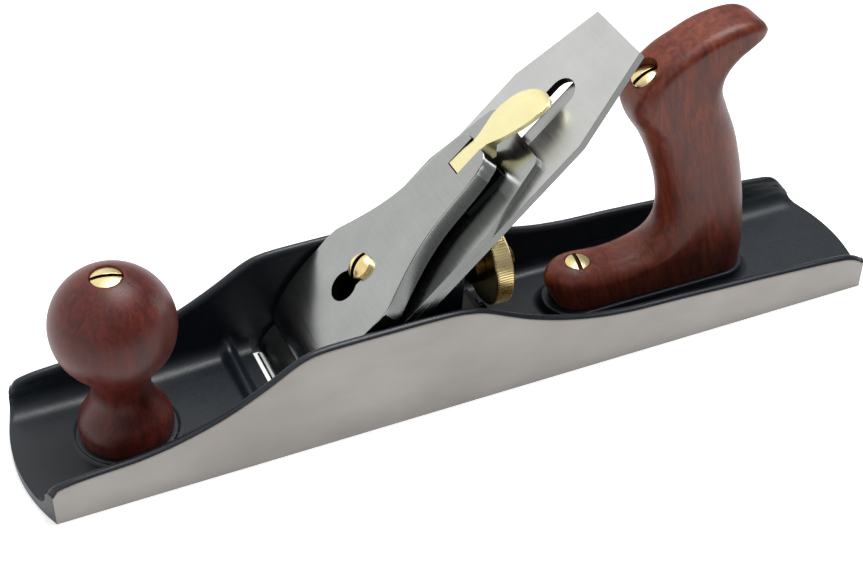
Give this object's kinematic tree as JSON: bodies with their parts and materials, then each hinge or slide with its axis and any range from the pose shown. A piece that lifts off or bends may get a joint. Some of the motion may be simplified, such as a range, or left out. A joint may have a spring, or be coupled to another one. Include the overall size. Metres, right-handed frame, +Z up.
{
  "type": "bench plane",
  "caption": "Iron jack plane with wooden knob and tote, adjustable frog, blade with chipbreaker, lever cap and brass adjusters.",
  "frame": {"origin": "middle of the sole's flat underside, on the plane that it rests on", "axes": "+X from the toe to the heel, +Y across to the cheek that faces away in the picture, +Z up from the sole"},
  "size_m": [0.355, 0.064, 0.1302],
  "materials": {
    "black_iron": "satin dark paint, cheeks and sole ground bare",
    "red_wood": "oiled and polished",
    "steel": "ground",
    "plain_steel": "turned",
    "brass": "polished"
  },
  "bodies": {
    "plane_body": {"body_casting": "black_iron", "knob": "red_wood", "knob_stud": "plain_steel", "knob_nut": "brass", "tote": "red_wood", "tote_stud": "plain_steel", "tote_nut": "brass", "tote_toe_screw": "brass", "frog_locking_screws": "plain_steel"},
    "frog_unit": {"frog": "black_iron", "frog_pins": "plain_steel", "frog_tab": "plain_steel", "frog_tab_screw": "plain_steel", "depth_stud": "plain_steel", "y_lever_pin": "plain_steel", "lateral_pin": "plain_steel", "lever_cap_screw": "brass"},
    "frog_screw": {"frog_adjusting_screw": "plain_steel"},
    "depth_sleeve": {"depth_hub": "brass"},
    "depth_dial": {"depth_wheel": "brass"},
    "y_lever": {"y_lever": "plain_steel"},
    "blade_set": {"blade": "steel", "chipbreaker": "steel", "cap_iron_screw": "plain_steel"},
    "lateral_adjuster": {"lateral_lever": "plain_steel", "lateral_disc": "plain_steel"},
    "lever_cap_unit": {"lever_cap": "steel", "lever_cap_spring": "plain_steel", "spring_rivet": "plain_steel", "cam_pin": "brass"},
    "cam": {"cam_lever": "brass"}
  },
  "joints": [
    {"name": "frog_slide", "type": "slide", "parent": "plane_body", "child": "frog_unit", "axis": [0.9848, 0, 0.1736], "range_m": [-0.0012, 0.0012]},
    {"name": "frog_screw_turn", "type": "hinge", "parent": "frog_unit", "child": "frog_screw", "pos_m": [-0.00508, 0, 0.01089], "axis": [0.9848, 0, 0.1736], "range_deg": [-433, 433]},
    {"name": "depth_hub_slide", "type": "slide", "parent": "frog_unit", "child": "depth_sleeve", "axis": [1, 0, 0], "range_m": [-0.00151, 0.00151]},
    {"name": "depth_wheel_turn", "type": "hinge", "parent": "depth_sleeve", "child": "depth_dial", "pos_m": [0.01265, 0, 0.0385], "axis": [1, 0, 0], "range_deg": [-541, 541]},
    {"name": "y_lever_swing", "type": "hinge", "parent": "frog_unit", "child": "y_lever", "pos_m": [-0.0095, 0, 0.0485], "axis": [0, 1, 0], "range_deg": [-8.7, 8.7]},
    {"name": "blade_slide", "type": "slide", "parent": "frog_unit", "child": "blade_set", "axis": [0.7254, 0, 0.6884], "range_m": [-0.00175, 0.00175]},
    {"name": "lateral_swing", "type": "hinge", "parent": "frog_unit", "child": "lateral_adjuster", "pos_m": [-0.00284, 0, 0.06445], "axis": [-0.6884, 0, 0.7254], "range_deg": [-8, 8]},
    {"name": "lever_cap_slide", "type": "slide", "parent": "frog_unit", "child": "lever_cap_unit", "axis": [0.7254, 0, 0.6884], "range_m": [0, 0.0108]},
    {"name": "cam_lift", "type": "hinge", "parent": "lever_cap_unit", "child": "cam", "pos_m": [0.0033, 0, 0.08791], "axis": [0, -1, 0], "range_deg": [0, 80]}
  ],
  "couplings": [
    {"joint": "frog_screw_turn", "follows": "frog_slide", "rad_per_m": 6283.2},
    {"joint": "depth_wheel_turn", "follows": "blade_slide", "rad_per_m": 5378.5},
    {"joint": "depth_hub_slide", "follows": "blade_slide", "ratio": -0.85602},
    {"joint": "y_lever_swing", "follows": "blade_slide", "rad_per_m": 85.602}
  ]
}
